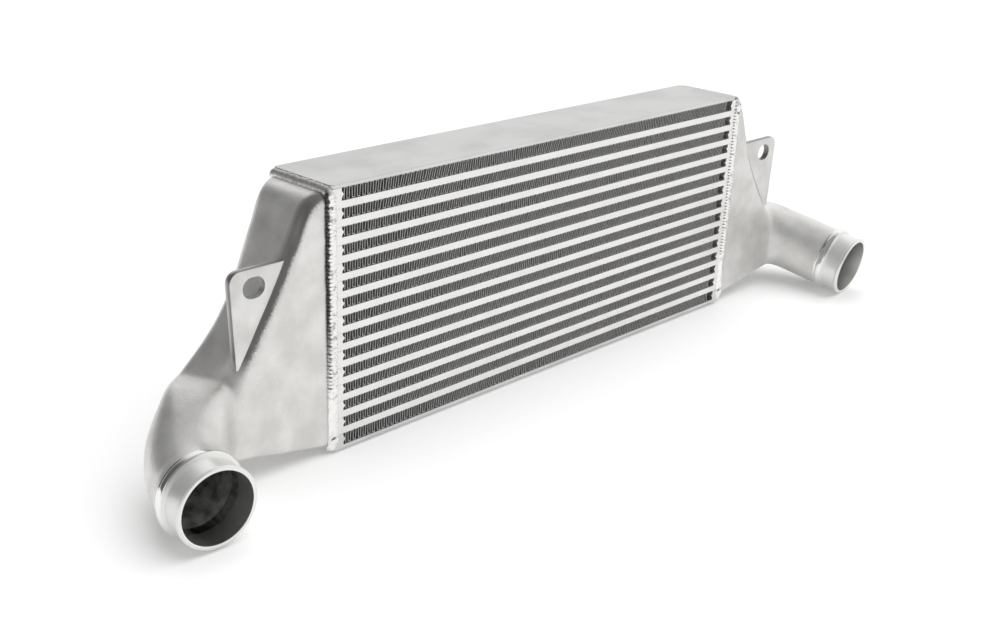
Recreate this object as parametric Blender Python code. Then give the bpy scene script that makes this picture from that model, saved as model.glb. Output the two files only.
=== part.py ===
"""Bar-and-plate charge-air intercooler with cast end tanks and machined outlet spigots.

The frame's origin is the centre of the core's underside. +X runs along the core,
+Z is up, and -Y is the side that the outlets face.
"""
import math

import bmesh
import bpy
from mathutils import Matrix, Vector

mm = 0.001

for leftover in list(bpy.data.objects):
    bpy.data.objects.remove(leftover)

# General fits: the gap left between brazed or welded neighbours, and how far a cut runs past a face
SEAM = 0.3 * mm
OVERRUN = 5.0 * mm

# Core: cover plates, charge tubes and the fin rows between them
FIN_AREA_WIDTH = 493.6 * mm
CORE_DEPTH = 70.0 * mm
COVER_PLATE = 3.0 * mm
FIN_ROWS = 15
FIN_ROW_HEIGHT = 8.29 * mm
OUTER_FIN_ROW_HEIGHT = 9.77 * mm
TUBE_HEIGHT = 5.81 * mm
PARTING_SHEET = 0.6 * mm
FACE_BAR_DEPTH = 5.0 * mm
END_BAR_WIDTH = 9.5 * mm
END_BAR_NOSE = 3.5 * mm
END_BAR_NOSE_SHARE = 0.55
TOP_PLATE_LEFT_CORNER = 3.0 * mm
TOP_PLATE_RIGHT_CORNER = 8.0 * mm
TOP_PLATE_CORNER_POINTS = 5

# Fins in the open air rows and turbulators inside the tubes
FIN_SHEET = 0.9 * mm
FIN_RECESS = 0.8 * mm
FIN_WAVES = 20
TURBULATOR_SHEET = 0.7 * mm
TURBULATOR_RECESS = 1.5 * mm
TURBULATOR_WAVES = 5

# Cast end tank: the rim on the core, the sloping outer wall and the elbow, whose first turn is in degrees.
# The outer side of the bend is a little flatter than round.
TANK_WALL = 3.6 * mm
TANK_REACH = 88.0 * mm
TANK_FACE_STEP = 1.2 * mm
TANK_TOP_STEP = 5.0 * mm
TANK_BASE_STEP = 3.4 * mm
ELBOW_START_DEPTH = 49.6 * mm
ELBOW_START_TOP = 83.9 * mm
ELBOW_START_BASE = 19.3 * mm
RIM_CORNER_RADIUS = 5.0 * mm
FRONT_EDGE_RADIUS = 14.0 * mm
BACK_EDGE_RADIUS = 12.0 * mm
BASE_EDGE_RADIUS = 6.0 * mm
EDGE_STRETCH_SHARE = 1.9
SHOULDER_SHARE = 0.37
CORNER_POINTS = 6
ELBOW_START_TURN = 25.9
ELBOW_STEPS = 8
ELBOW_START_HANDLE_SHARE = 0.6
ELBOW_END_HANDLE_SHARE = 0.5
ELBOW_ROUND_SHARE = 0.5
ELBOW_FLATTENING = 3.7 * mm
FLATTENING_START_SHARE = 0.25
FLATTENING_END_SHARE = 0.15

# The tank's sections from the rim outward: share of the reach, share of the top edge's fall,
# and share of the elbow's first turn, which is negative where the casting is drafted toward the core
TANK_OUTLINE_SHARES = (
    (0.0, 0.0, 0.0),
    (0.125, 0.008, -0.025),
    (0.216, 0.038, -0.043),
    (0.284, 0.095, -0.056),
    (0.341, 0.176, -0.067),
    (0.398, 0.231, -0.073),
    (0.492, 0.368, -0.073),
    (0.682, 0.599, -0.135),
    (0.852, 0.795, 0.1),
    (1.0, 1.0, 1.0),
)

# Outlet spigots, turned from bar: a collar at the pipe, a waist for the hose and a lip at the mouth
SPIGOT_BORE_RADIUS = 27.9 * mm
SPIGOT_LENGTH = 28.0 * mm
COLLAR_RADIUS = 33.4 * mm
COLLAR_LENGTH = 9.0 * mm
COLLAR_SHOULDER = 1.2 * mm
GROOVE_WIDTH = 1.2 * mm
GROOVE_DEPTH = 1.4 * mm
WAIST_RADIUS = 30.2 * mm
LIP_RADIUS = 31.3 * mm
LIP_LENGTH = 4.0 * mm
LIP_RISE = 1.3 * mm
MOUTH_CHAMFER = 1.0 * mm
SPIGOT_SEGMENTS = 32

# The two ends were fitted by hand and differ a little. Each mouth lies outward of the tank's reach,
# forward of the core's front face and above its underside, and points outward and down by two angles in
# degrees. Lower is how far that end's elbow and bracket sit below the sizes above and below, and the early
# share draws the upper part of the slope toward the core.
LEFT_OUTLET = {
    "out": 57.5 * mm,
    "forward": 56.4 * mm,
    "height": 29.1 * mm,
    "toe_out": 3.3,
    "droop": 1.9,
    "lower": 0,
    "early_share": 0,
}
RIGHT_OUTLET = {
    "out": 53.4 * mm,
    "forward": 71.2 * mm,
    "height": 24.4 * mm,
    "toe_out": 5.5,
    "droop": 9.3,
    "lower": 4.0 * mm,
    "early_share": 0.115,
}

# Mounting bracket, cast in one with each tank: its edges lie a little short of the tank's reach, and its slot
# lies inward of the outer edge and below the top edge
BRACKET_THICKNESS = 6.0 * mm
BRACKET_SETBACK = 6.0 * mm
BRACKET_TOP = 165.1 * mm
BRACKET_TIP = 90.6 * mm
BRACKET_EDGE_SHORTFALL = 1.0 * mm
BRACKET_TIP_SHORTFALL = 4.0 * mm
BRACKET_ROOT_SHARE = 0.3
BRACKET_CORNER_RADIUS = 9.0 * mm
BRACKET_CORNER_POINTS = 6
SLOT_FROM_EDGE = 20.6 * mm
SLOT_BELOW_TOP = 14.5 * mm
SLOT_LENGTH = 19.4 * mm
SLOT_WIDTH = 16.2 * mm
SLOT_END_POINTS = 9

# Weld bead in the corner between the core's end and the tank's rim
BEAD_WIDTH = 5.5 * mm
BEAD_FACE_HEIGHT = 2.2 * mm
BEAD_TOP_HEIGHT = 4.6 * mm
BEAD_BASE_HEIGHT = 2.8 * mm
BEAD_ROUND_POINTS = 4

# Finishes: colour, roughness and metallic value
ROLLED_ALUMINIUM = ((0.70, 0.70, 0.69), 0.35, 1.0)
BAR_ALUMINIUM = ((0.80, 0.80, 0.79), 0.38, 1.0)
FIN_ALUMINIUM = ((0.30, 0.30, 0.29), 0.50, 1.0)
CAST_ALUMINIUM = ((0.56, 0.55, 0.53), 0.55, 1.0)
MACHINED_ALUMINIUM = ((0.88, 0.88, 0.87), 0.12, 1.0)
WELD_ALUMINIUM = ((0.75, 0.75, 0.74), 0.30, 1.0)

# Round pieces are shaded smooth where neighbouring faces meet at less than this many degrees
SMOOTH_ANGLE = 35.0

# Places that follow from the sizes above
UP = Vector((0, 0, 1))
half_core = FIN_AREA_WIDTH / 2 + END_BAR_WIDTH
front_face = -CORE_DEPTH / 2
row_heights = [OUTER_FIN_ROW_HEIGHT] + [FIN_ROW_HEIGHT] * (FIN_ROWS - 2) + [OUTER_FIN_ROW_HEIGHT]
core_height = 2 * COVER_PLATE + sum(row_heights) + (FIN_ROWS - 1) * TUBE_HEIGHT
tank_half_depth = CORE_DEPTH / 2 - TANK_FACE_STEP
tank_back_taper = 2 * tank_half_depth - ELBOW_START_DEPTH
pipe_radius = SPIGOT_BORE_RADIUS + TANK_WALL
bracket_reach = TANK_REACH - BRACKET_EDGE_SHORTFALL


def loft(loops, closed=False):
    """Skin a row of point loops; closed joins the last loop to the first, else both ends are capped."""
    skin = bmesh.new()
    rings = [[skin.verts.new(point) for point in loop] for loop in loops]
    following = rings[1:] + rings[:1] if closed else rings[1:]
    for near, far in zip(rings, following):
        for i, corner in enumerate(near):
            skin.faces.new((corner, near[i - 1], far[i - 1], far[i]))
    if not closed:
        skin.faces.new(rings[0])
        skin.faces.new(rings[-1])
    bmesh.ops.recalc_face_normals(skin, faces=skin.faces)
    mesh = bpy.data.meshes.new("shape")
    skin.to_mesh(mesh)
    skin.free()
    return mesh


def box(low, high):
    """A block between two opposite corners."""
    loops = []
    for z in (low[2], high[2]):
        loops.append([(low[0], low[1], z), (high[0], low[1], z), (high[0], high[1], z), (low[0], high[1], z)])
    return loft(loops)


def boolean(mesh, tool_mesh, operation):
    """The union or difference of two meshes, as a new mesh."""
    base = bpy.data.objects.new("base", mesh)
    tool = bpy.data.objects.new("tool", tool_mesh)
    for helper in (base, tool):
        bpy.context.collection.objects.link(helper)
    step = base.modifiers.new("boolean", "BOOLEAN")
    step.operation = operation
    step.object = tool
    step.solver = "EXACT"
    evaluated = base.evaluated_get(bpy.context.evaluated_depsgraph_get())
    result = bpy.data.meshes.new_from_object(evaluated)
    for helper in (base, tool):
        bpy.data.objects.remove(helper)
    return result


def piece(name, mesh, finish, location=(0, 0, 0), smooth=False):
    """One sub-part of the intercooler, in a material of its own."""
    colour, roughness, metallic = finish
    material = bpy.data.materials.new(name)
    material.use_nodes = True
    shader = material.node_tree.nodes["Principled BSDF"]
    shader.inputs["Base Color"].default_value = (*colour, 1.0)
    shader.inputs["Roughness"].default_value = roughness
    shader.inputs["Metallic"].default_value = metallic
    mesh.materials.clear()
    mesh.materials.append(material)
    if smooth:
        mesh.shade_smooth()
        mesh.set_sharp_from_angle(angle=math.radians(SMOOTH_ANGLE))
    made = bpy.data.objects.new(name, mesh)
    made.location = location
    bpy.context.collection.objects.link(made)
    return made


# Core


def bar_carrier(base_height, bar_height):
    """A plate or tube blank with the two end bars of the fin row above it, their noses facing inward."""
    inner = FIN_AREA_WIDTH / 2
    top = base_height + bar_height
    nose_height = base_height + bar_height / 2
    half_nose = bar_height * END_BAR_NOSE_SHARE / 2
    right_side = [
        (half_core, 0),
        (half_core, top),
        (inner, top),
        (inner, nose_height + half_nose),
        (inner - END_BAR_NOSE, nose_height),
        (inner, nose_height - half_nose),
        (inner, base_height),
    ]
    outline = right_side + [(-x, z) for x, z in reversed(right_side)]
    return loft([[(x, y, z) for x, z in outline] for y in (front_face, -front_face)])


def charge_tube(bar_height):
    """Two parting sheets held apart by a face bar at the front and back, open at both ends."""
    half_channel = CORE_DEPTH / 2 - FACE_BAR_DEPTH
    channel_end = half_core + OVERRUN
    channel = box(
        (-channel_end, -half_channel, PARTING_SHEET),
        (channel_end, half_channel, TUBE_HEIGHT - PARTING_SHEET),
    )
    return boolean(bar_carrier(TUBE_HEIGHT, bar_height), channel, "DIFFERENCE")


def top_plate():
    """The upper cover plate, its corners rounded a little at the left end and more at the right."""
    outline = []
    quarters = (
        (1, 1, TOP_PLATE_RIGHT_CORNER),
        (-1, 1, TOP_PLATE_LEFT_CORNER),
        (-1, -1, TOP_PLATE_LEFT_CORNER),
        (1, -1, TOP_PLATE_RIGHT_CORNER),
    )
    for quarter, (end, side, radius) in enumerate(quarters):
        for step in range(TOP_PLATE_CORNER_POINTS):
            angle = (quarter + step / (TOP_PLATE_CORNER_POINTS - 1)) * math.pi / 2
            outline.append((
                end * (half_core - radius) + radius * math.cos(angle),
                side * (CORE_DEPTH / 2 - radius) + radius * math.sin(angle),
            ))
    return loft([[(x, y, z) for x, y in outline] for z in (0, COVER_PLATE)])


def folded_outline(length, height, sheet, waves):
    """The edge of a folded sheet as pairs along and up, centred along and standing on zero."""
    folds = 2 * waves
    lower = [(length * (k / folds - 1 / 2), (k % 2) * (height - sheet)) for k in range(folds + 1)]
    upper = [(along, up + sheet) for along, up in reversed(lower)]
    return lower + upper


def air_fin(row_height):
    """The folded sheet of one open row, its channels running from front to back."""
    length = FIN_AREA_WIDTH - 2 * (END_BAR_NOSE + SEAM)
    outline = folded_outline(length, row_height - 2 * SEAM, FIN_SHEET, FIN_WAVES)
    half_depth = CORE_DEPTH / 2 - FIN_RECESS
    return loft([[(along, y, up) for along, up in outline] for y in (-half_depth, half_depth)])


def turbulator():
    """The folded sheet inside one tube, its channels running from end to end."""
    length = CORE_DEPTH - 2 * (FACE_BAR_DEPTH + SEAM)
    height = TUBE_HEIGHT - 2 * (PARTING_SHEET + SEAM)
    outline = folded_outline(length, height, TURBULATOR_SHEET, TURBULATOR_WAVES)
    half_length = half_core - TURBULATOR_RECESS
    return loft([[(x, along, up) for along, up in outline] for x in (-half_length, half_length)])


def build_core():
    """Stack the core from its bottom plate up, one fin row and one tube at a time."""
    piece("bottom_plate", bar_carrier(COVER_PLATE, row_heights[0] - SEAM), ROLLED_ALUMINIUM)
    level = COVER_PLATE
    for row, row_height in enumerate(row_heights, start=1):
        piece(f"air_fin_{row:02d}", air_fin(row_height), FIN_ALUMINIUM, (0, 0, level + SEAM))
        level += row_height
        if row == FIN_ROWS:
            break
        bar_height = row_heights[row] - SEAM
        piece(f"charge_tube_{row:02d}", charge_tube(bar_height), BAR_ALUMINIUM, (0, 0, level))
        turbulator_level = level + PARTING_SHEET + SEAM
        piece(f"turbulator_{row:02d}", turbulator(), FIN_ALUMINIUM, (0, 0, turbulator_level))
        level += TUBE_HEIGHT
    piece("top_plate", top_plate(), ROLLED_ALUMINIUM, (0, 0, level))


# End tanks, described for the right-hand end; the left-hand one is mirrored


def corner_angle(quarter, step):
    """The angle of one corner point; the points of four full corners stand evenly round a circle."""
    return (quarter + (step + 1 / 2) / CORNER_POINTS) * math.pi / 2


def rounded_loop(centre, across, up, half_depth, half_height, radii):
    """A rounded rectangle, each corner with its own radius in depth and in height.

    The corners run back top, front top, front base, back base.
    """
    loop = []
    corners = zip(((1, 1), (-1, 1), (-1, -1), (1, -1)), radii)
    for quarter, ((side, level), (depth_radius, height_radius)) in enumerate(corners):
        for step in range(CORNER_POINTS):
            angle = corner_angle(quarter, step)
            along = side * (half_depth - depth_radius) + depth_radius * math.cos(angle)
            rise = level * (half_height - height_radius) + height_radius * math.sin(angle)
            loop.append(centre + across * along + up * rise)
    return loop


def edge_radii(swell, inset):
    """The tank's corner radii: plain at the rim, full and drawn out along the sloping top past the shoulder."""
    radii = []
    stretch = mix(1, EDGE_STRETCH_SHARE, swell)
    for full_radius, draw in (
        (BACK_EDGE_RADIUS, stretch),
        (FRONT_EDGE_RADIUS, stretch),
        (BASE_EDGE_RADIUS, 1),
        (BASE_EDGE_RADIUS, 1),
    ):
        radius = mix(RIM_CORNER_RADIUS, full_radius, swell)
        radii.append((radius - inset, radius * draw - inset))
    return radii


def tank_section(outlet, inset, reach_share, fall_share, turn_share):
    """One section of the tank: its centre, direction across, half depth, half height and corner radii."""
    rim_top = core_height - TANK_TOP_STEP
    depth_lost = tank_back_taper * reach_share
    half_depth = tank_half_depth - depth_lost / 2 - inset
    top = mix(rim_top, ELBOW_START_TOP - outlet["lower"], fall_share) - inset
    base = mix(TANK_BASE_STEP, ELBOW_START_BASE - outlet["lower"], reach_share) + inset
    half_height = (top - base) / 2
    lean = math.tan(math.radians(ELBOW_START_TURN)) * turn_share
    middle = -depth_lost / 2
    distance = SEAM + TANK_REACH * reach_share + lean * (middle + tank_half_depth)
    centre = Vector((half_core + distance, middle, base + half_height))
    radii = edge_radii(min(1.0, reach_share / SHOULDER_SHARE), inset)
    return centre, Vector((lean, 1, 0)), half_depth, half_height, radii


def elbow_sections(outlet, inset, start, half_depth, half_height, radii):
    """The sections of the bend, which grow round on the way from the tank to the pipe's end."""
    start_turn = math.radians(ELBOW_START_TURN)
    start_heading = Vector((math.cos(start_turn), -math.sin(start_turn), 0))
    end = outlet_point(outlet, -SPIGOT_LENGTH - SEAM)
    first_handle = start + start_heading * (end.x - start.x) * ELBOW_START_HANDLE_SHARE
    last_handle = end - outlet_aim(outlet) * (start.y - end.y) * ELBOW_END_HANDLE_SHARE
    round_radius = pipe_radius - inset
    loops = []
    for step in range(1, ELBOW_STEPS + 1):
        t = step / ELBOW_STEPS
        centre, heading = bezier(start, first_handle, last_handle, end, t)
        across = UP.cross(heading).normalized()
        blend = eased(t / ELBOW_ROUND_SHARE)
        half_width = mix(half_depth / math.cos(start_turn), round_radius, blend)
        loop = rounded_loop(
            centre, across, heading.cross(across),
            half_width,
            mix(half_height, round_radius, blend),
            [[mix(radius, round_radius, blend) for radius in pair] for pair in radii],
        )
        flattening = ELBOW_FLATTENING * eased(t / FLATTENING_START_SHARE) * eased((1 - t) / FLATTENING_END_SHARE)
        loops.append([drawn_in(point, centre, across, flattening / half_width) for point in loop])
    return loops


def tank_sections(outlet, inset):
    """The casting's sections from the rim to the pipe's end; inset draws them in by the wall."""
    loops = []
    for reach_share, *other_shares in TANK_OUTLINE_SHARES:
        reach_share -= outlet["early_share"] * 4 * reach_share * (1 - reach_share)
        centre, across, half_depth, half_height, radii = tank_section(outlet, inset, reach_share, *other_shares)
        loops.append(rounded_loop(centre, across, UP, half_depth, half_height, radii))
    return loops + elbow_sections(outlet, inset, centre, half_depth, half_height, radii)


def mix(first, second, share):
    """A value between two others."""
    return first + (second - first) * share


def eased(share):
    """A share held between none and all, with a soft start and end."""
    share = min(1.0, share)
    return share * share * (3 - 2 * share)


def drawn_in(point, centre, across, share):
    """A point on the outer side of the bend, moved toward the centre line by a share of its distance."""
    outward = max(0, (point - centre).dot(across))
    return point - across * outward * share


def bezier(start, first_handle, last_handle, end, t):
    """A point on a cubic curve and the direction there."""
    s = 1 - t
    point = start * s ** 3 + first_handle * 3 * s * s * t + last_handle * 3 * s * t * t + end * t ** 3
    slope = (first_handle - start) * s * s + (last_handle - first_handle) * 2 * s * t + (end - last_handle) * t * t
    return point, slope.normalized()


def outlet_aim(outlet):
    """The direction in which an outlet's mouth points."""
    toe_out = math.radians(outlet["toe_out"])
    droop = math.radians(outlet["droop"])
    level = math.cos(droop)
    return Vector((math.sin(toe_out) * level, -math.cos(toe_out) * level, -math.sin(droop)))


def outlet_point(outlet, distance):
    """A point on an outlet's axis, counted from the centre of its mouth."""
    mouth = Vector((half_core + TANK_REACH + outlet["out"], front_face - outlet["forward"], outlet["height"]))
    return mouth + outlet_aim(outlet) * distance


def bracket_plate(lower):
    """The tab beside the tank: level top edge, rounded outer corner and a tip that runs out on the wall."""
    top = BRACKET_TOP - lower
    tip = BRACKET_TIP - lower
    corner_x = bracket_reach - BRACKET_CORNER_RADIUS
    corner_z = top - BRACKET_CORNER_RADIUS
    root = TANK_REACH * BRACKET_ROOT_SHARE
    outline = [(root, tip), (TANK_REACH - BRACKET_TIP_SHORTFALL, tip)]
    for step in range(BRACKET_CORNER_POINTS):
        angle = step / (BRACKET_CORNER_POINTS - 1) * math.pi / 2
        outline.append((
            corner_x + BRACKET_CORNER_RADIUS * math.cos(angle),
            corner_z + BRACKET_CORNER_RADIUS * math.sin(angle),
        ))
    outline.append((root, top))
    bracket_front = front_face + BRACKET_SETBACK
    faces = (bracket_front, bracket_front + BRACKET_THICKNESS)
    return loft([[(half_core + x, y, z) for x, z in outline] for y in faces])


def bracket_slot(lower):
    """The cutter for the bracket's slot, longer along the core than it is high."""
    radius = SLOT_WIDTH / 2
    half_straight = SLOT_LENGTH / 2 - radius
    centre_x = half_core + bracket_reach - SLOT_FROM_EDGE
    centre_z = BRACKET_TOP - SLOT_BELOW_TOP - lower
    outline = []
    for side, turn in ((1, -math.pi / 2), (-1, math.pi / 2)):
        for step in range(SLOT_END_POINTS):
            angle = turn + step / (SLOT_END_POINTS - 1) * math.pi
            outline.append((
                centre_x + side * half_straight + radius * math.cos(angle),
                centre_z + radius * math.sin(angle),
            ))
    bracket_front = front_face + BRACKET_SETBACK
    faces = (bracket_front - OVERRUN, bracket_front + BRACKET_THICKNESS + OVERRUN)
    return loft([[(x, y, z) for x, z in outline] for y in faces])


def end_tank(outlet):
    """The hollow casting: outer skin with its bracket, less the duct from the core to the pipe's end."""
    duct = tank_sections(outlet, TANK_WALL)
    toward_core = Vector((-OVERRUN, 0, 0))
    toward_mouth = outlet_aim(outlet) * OVERRUN
    duct[0] = [point + toward_core for point in duct[0]]
    duct[-1] = [point + toward_mouth for point in duct[-1]]
    casting = boolean(loft(tank_sections(outlet, 0)), bracket_plate(outlet["lower"]), "UNION")
    casting = boolean(casting, loft(duct), "DIFFERENCE")
    return boolean(casting, bracket_slot(outlet["lower"]), "DIFFERENCE")


def spigot(outlet):
    """The turned ring that a hose is clamped on, as a closed profile swept round the outlet's axis."""
    groove_end = COLLAR_SHOULDER + GROOVE_WIDTH
    lip_start = SPIGOT_LENGTH - LIP_LENGTH
    profile = [
        (SPIGOT_BORE_RADIUS, 0),
        (pipe_radius, 0),
        (pipe_radius, COLLAR_SHOULDER),
        (pipe_radius - GROOVE_DEPTH, groove_end),
        (COLLAR_RADIUS - COLLAR_SHOULDER, groove_end),
        (COLLAR_RADIUS, groove_end + COLLAR_SHOULDER),
        (COLLAR_RADIUS, COLLAR_LENGTH - COLLAR_SHOULDER),
        (COLLAR_RADIUS - COLLAR_SHOULDER, COLLAR_LENGTH),
        (WAIST_RADIUS, COLLAR_LENGTH + COLLAR_SHOULDER),
        (WAIST_RADIUS, lip_start),
        (LIP_RADIUS, lip_start + LIP_RISE),
        (LIP_RADIUS, SPIGOT_LENGTH - MOUTH_CHAMFER),
        (LIP_RADIUS - MOUTH_CHAMFER, SPIGOT_LENGTH),
        (SPIGOT_BORE_RADIUS, SPIGOT_LENGTH),
    ]
    aim = outlet_aim(outlet)
    across = UP.cross(aim).normalized()
    rise = aim.cross(across)
    back = outlet_point(outlet, -SPIGOT_LENGTH)
    loops = []
    for segment in range(SPIGOT_SEGMENTS):
        angle = segment / SPIGOT_SEGMENTS * 2 * math.pi
        outward = across * math.cos(angle) + rise * math.sin(angle)
        loops.append([back + outward * radius + aim * along for radius, along in profile])
    return loft(loops, closed=True)


def rim_weld():
    """The bead laid round the tank's rim, a rounded corner fill that follows the rim's outline."""
    rim_top = core_height - TANK_TOP_STEP
    centre = Vector((half_core + SEAM, 0, (rim_top + TANK_BASE_STEP) / 2))
    half_height = (rim_top - TANK_BASE_STEP) / 2
    across = Vector((0, 1, 0))
    base_loop = rounded_loop(centre, across, UP, tank_half_depth, half_height, edge_radii(0, 0))
    loops = []
    for index, point in enumerate(base_loop):
        quarter, step = divmod(index, CORNER_POINTS)
        angle = corner_angle(quarter, step)
        outward = across * math.cos(angle) + UP * math.sin(angle)
        end_height = BEAD_TOP_HEIGHT if outward.z > 0 else BEAD_BASE_HEIGHT
        height = BEAD_FACE_HEIGHT * math.cos(angle) ** 2 + end_height * math.sin(angle) ** 2
        section = [point + outward * SEAM]
        for turn in range(BEAD_ROUND_POINTS):
            sweep = turn / (BEAD_ROUND_POINTS - 1) * math.pi / 2
            along = Vector((BEAD_WIDTH * math.sin(sweep), 0, 0))
            section.append(point + outward * (SEAM + height * math.cos(sweep)) + along)
        loops.append(section)
    return loft(loops, closed=True)


def mirrored(mesh):
    """The same shape on the other end of the core."""
    mesh.transform(Matrix.Scale(-1, 4, Vector((1, 0, 0))))
    mesh.flip_normals()
    return mesh


def build_end(side, outlet):
    """The tank, spigot and weld of one end."""
    shapes = {
        "end_tank": (end_tank(outlet), CAST_ALUMINIUM),
        "outlet_spigot": (spigot(outlet), MACHINED_ALUMINIUM),
        "rim_weld": (rim_weld(), WELD_ALUMINIUM),
    }
    for name, (mesh, finish) in shapes.items():
        shape = mirrored(mesh) if side == "left" else mesh
        piece(f"{side}_{name}", shape, finish, smooth=True)


build_core()
build_end("left", LEFT_OUTLET)
build_end("right", RIGHT_OUTLET)
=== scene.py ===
"""Bar-and-plate intercooler: a brazed aluminium core with a cast end tank and a turned hose spigot at each end.

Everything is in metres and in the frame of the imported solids: the origin is the centre of the core's
underside, +X runs along the core, -Y is the side that the outlets face, and +Z is up.
"""
import math

import bmesh
import bpy
from mathutils import Matrix, Vector


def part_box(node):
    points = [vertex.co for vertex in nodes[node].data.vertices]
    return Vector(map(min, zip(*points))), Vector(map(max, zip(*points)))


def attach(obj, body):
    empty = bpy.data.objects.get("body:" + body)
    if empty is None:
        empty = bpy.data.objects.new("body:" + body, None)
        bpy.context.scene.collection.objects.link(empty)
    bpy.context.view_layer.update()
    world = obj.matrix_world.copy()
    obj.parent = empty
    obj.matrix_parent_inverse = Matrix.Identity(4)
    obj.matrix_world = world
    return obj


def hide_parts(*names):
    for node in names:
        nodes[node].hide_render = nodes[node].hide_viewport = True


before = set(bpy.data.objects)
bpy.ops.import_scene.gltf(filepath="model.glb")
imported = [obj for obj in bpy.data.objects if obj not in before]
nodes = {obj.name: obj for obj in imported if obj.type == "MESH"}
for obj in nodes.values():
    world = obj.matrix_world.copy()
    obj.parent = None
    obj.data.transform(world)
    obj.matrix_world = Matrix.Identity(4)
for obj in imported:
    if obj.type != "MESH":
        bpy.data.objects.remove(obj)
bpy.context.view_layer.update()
mm = 0.001


# Studio. A white paper floor lies under the three places that the intercooler rests on, one broad soft light hangs
# high off its right end, a pale wall stands behind that end, and the camera has the photograph's viewpoint.


def colour(code):
    """The linear values that a shader takes for an sRGB hex colour."""
    channels = [int(code[start:start + 2], 16) / 255 for start in (0, 2, 4)]
    linear = [part / 12.92 if part <= 0.04045 else ((part + 0.055) / 1.055) ** 2.4 for part in channels]
    return (*linear, 1.0)


def add_node(tree, kind, inputs, **settings):
    """Add a node, set its properties, and give each input a value or a link from a node, by its first output."""
    node = tree.nodes.new(kind)
    for name, value in settings.items():
        setattr(node, name, value)
    for name, value in inputs.items():
        if isinstance(value, bpy.types.Node):
            value = value.outputs[0]
        if isinstance(value, bpy.types.NodeSocket):
            tree.links.new(value, node.inputs[name])
        else:
            node.inputs[name].default_value = value
    return node


def place(name, data):
    """Put a mesh, lens or lamp in the scene as an object, standing at the origin."""
    made = bpy.data.objects.new(name, data)
    bpy.context.collection.objects.link(made)
    return made


def new_material(name):
    """A material without a surface yet, its tree, and the place in the frame that its looks are laid out by."""
    material = bpy.data.materials.new(name)
    material.use_nodes = True
    tree = material.node_tree
    tree.nodes.clear()
    return material, tree, add_node(tree, "ShaderNodeTexCoord", {}).outputs["Object"]


CAMERA_PLACE = Vector((-0.83943, -0.75454, 0.48005))
LIGHT_FROM = Vector((0.30, -0.15, 0.94))
FLOOR_SIZE = 60.0
FLOOR_REST_LEAN = 0.04

camera_lens = bpy.data.cameras.new("camera")
camera_lens.sensor_width = 36.0
camera_lens.lens = 47.465
camera = place("camera", camera_lens)
camera_right = Vector((0.69494767, -0.71809207, 0.03730304))
camera_up = Vector((0.24050195, 0.28101381, 0.92908022))
camera_turn = Matrix((camera_right, camera_up, camera_right.cross(camera_up))).transposed()
camera.matrix_world = Matrix.Translation(CAMERA_PLACE) @ camera_turn.to_4x4()
bpy.context.scene.camera = camera

resting_places = [Vector((0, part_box("bottom_plate")[1][1], 0))]
for spigot in ("left_outlet_spigot", "right_outlet_spigot"):
    points = [vertex.co for vertex in nodes[spigot].data.vertices]
    resting_places.append(min(points, key=lambda point: point.z - FLOOR_REST_LEAN * point.y).copy())
back_rest, left_rest, right_rest = resting_places
floor_up = (right_rest - back_rest).cross(left_rest - back_rest).normalized()
if floor_up.z < 0:
    floor_up.negate()
floor_mesh = bpy.data.meshes.new("floor")
corners = []
for side_x, side_y in ((-1, -1), (1, -1), (1, 1), (-1, 1)):
    x = side_x * FLOOR_SIZE / 2
    y = side_y * FLOOR_SIZE / 2
    z = back_rest.z - (floor_up.x * (x - back_rest.x) + floor_up.y * (y - back_rest.y)) / floor_up.z
    corners.append((x, y, z))
floor_mesh.from_pydata(corners, [], [(0, 1, 2, 3)])
floor = place("floor", floor_mesh)

# Matt white paper sweep. It is white wherever it is lit, to the eye and in the metal, and keeps soft shadows.
paper, tree, _ = new_material("matt_white_paper")
rays = add_node(tree, "ShaderNodeLightPath", {})
seen = rays.outputs["Is Camera Ray"]
for ray_kind in ("Is Glossy Ray", "Is Transmission Ray"):
    seen = add_node(tree, "ShaderNodeMath", {0: seen, 1: rays.outputs[ray_kind]}, operation="MAXIMUM")
lit_paper = add_node(tree, "ShaderNodeBsdfDiffuse", {"Color": colour("ededed")})
white_glow = add_node(tree, "ShaderNodeEmission", {"Color": colour("ffffff"), "Strength": 0.19})
seen_paper = add_node(tree, "ShaderNodeAddShader", {0: lit_paper, 1: white_glow})
paper_surface = add_node(tree, "ShaderNodeMixShader", {0: seen, 1: lit_paper, 2: seen_paper})
add_node(tree, "ShaderNodeOutputMaterial", {"Surface": paper_surface})
paper.cycles.emission_sampling = "NONE"
floor_mesh.materials.append(paper)

# The room is white to the eye. Metal sees it as it stands: dim all round, with a white wall and a bright strip of
# light beyond the right-hand end, low white boards at the front right and the left, a black flag at the back left
# and darkness behind the camera. What each adds starts and ends at the two cosines to its direction, and together
# they are hardly brighter than the paper.
ROOM_DIM = 0.33
ROOM_WHITE = 1.08
PANELS = {
    "white_wall": ((0.75, 0.60, 0.25), 0.45, 0.95, 0.70),
    "light_strip": ((0.88, 0.06, 0.44), 0.93, 0.98, 1.0),
    "front_board": ((0.72, -0.62, 0.30), 0.60, 0.95, 0.60),
    "left_board": ((-0.95, -0.30, 0.12), 0.90, 0.98, 0.50),
    "black_flag": ((-0.45, 0.75, 0.45), 0.78, 0.87, -0.22),
    "camera_side": ((-0.45, -0.65, 0.60), 0.70, 0.95, -0.18),
}
room = bpy.data.worlds.new("pale_room")
bpy.context.scene.world = room
room.use_nodes = True
room.cycles.sampling_method = "NONE"
tree = room.node_tree
tree.nodes.clear()
direction = add_node(tree, "ShaderNodeTexCoord", {}).outputs["Generated"]
in_metal = ROOM_DIM
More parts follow.
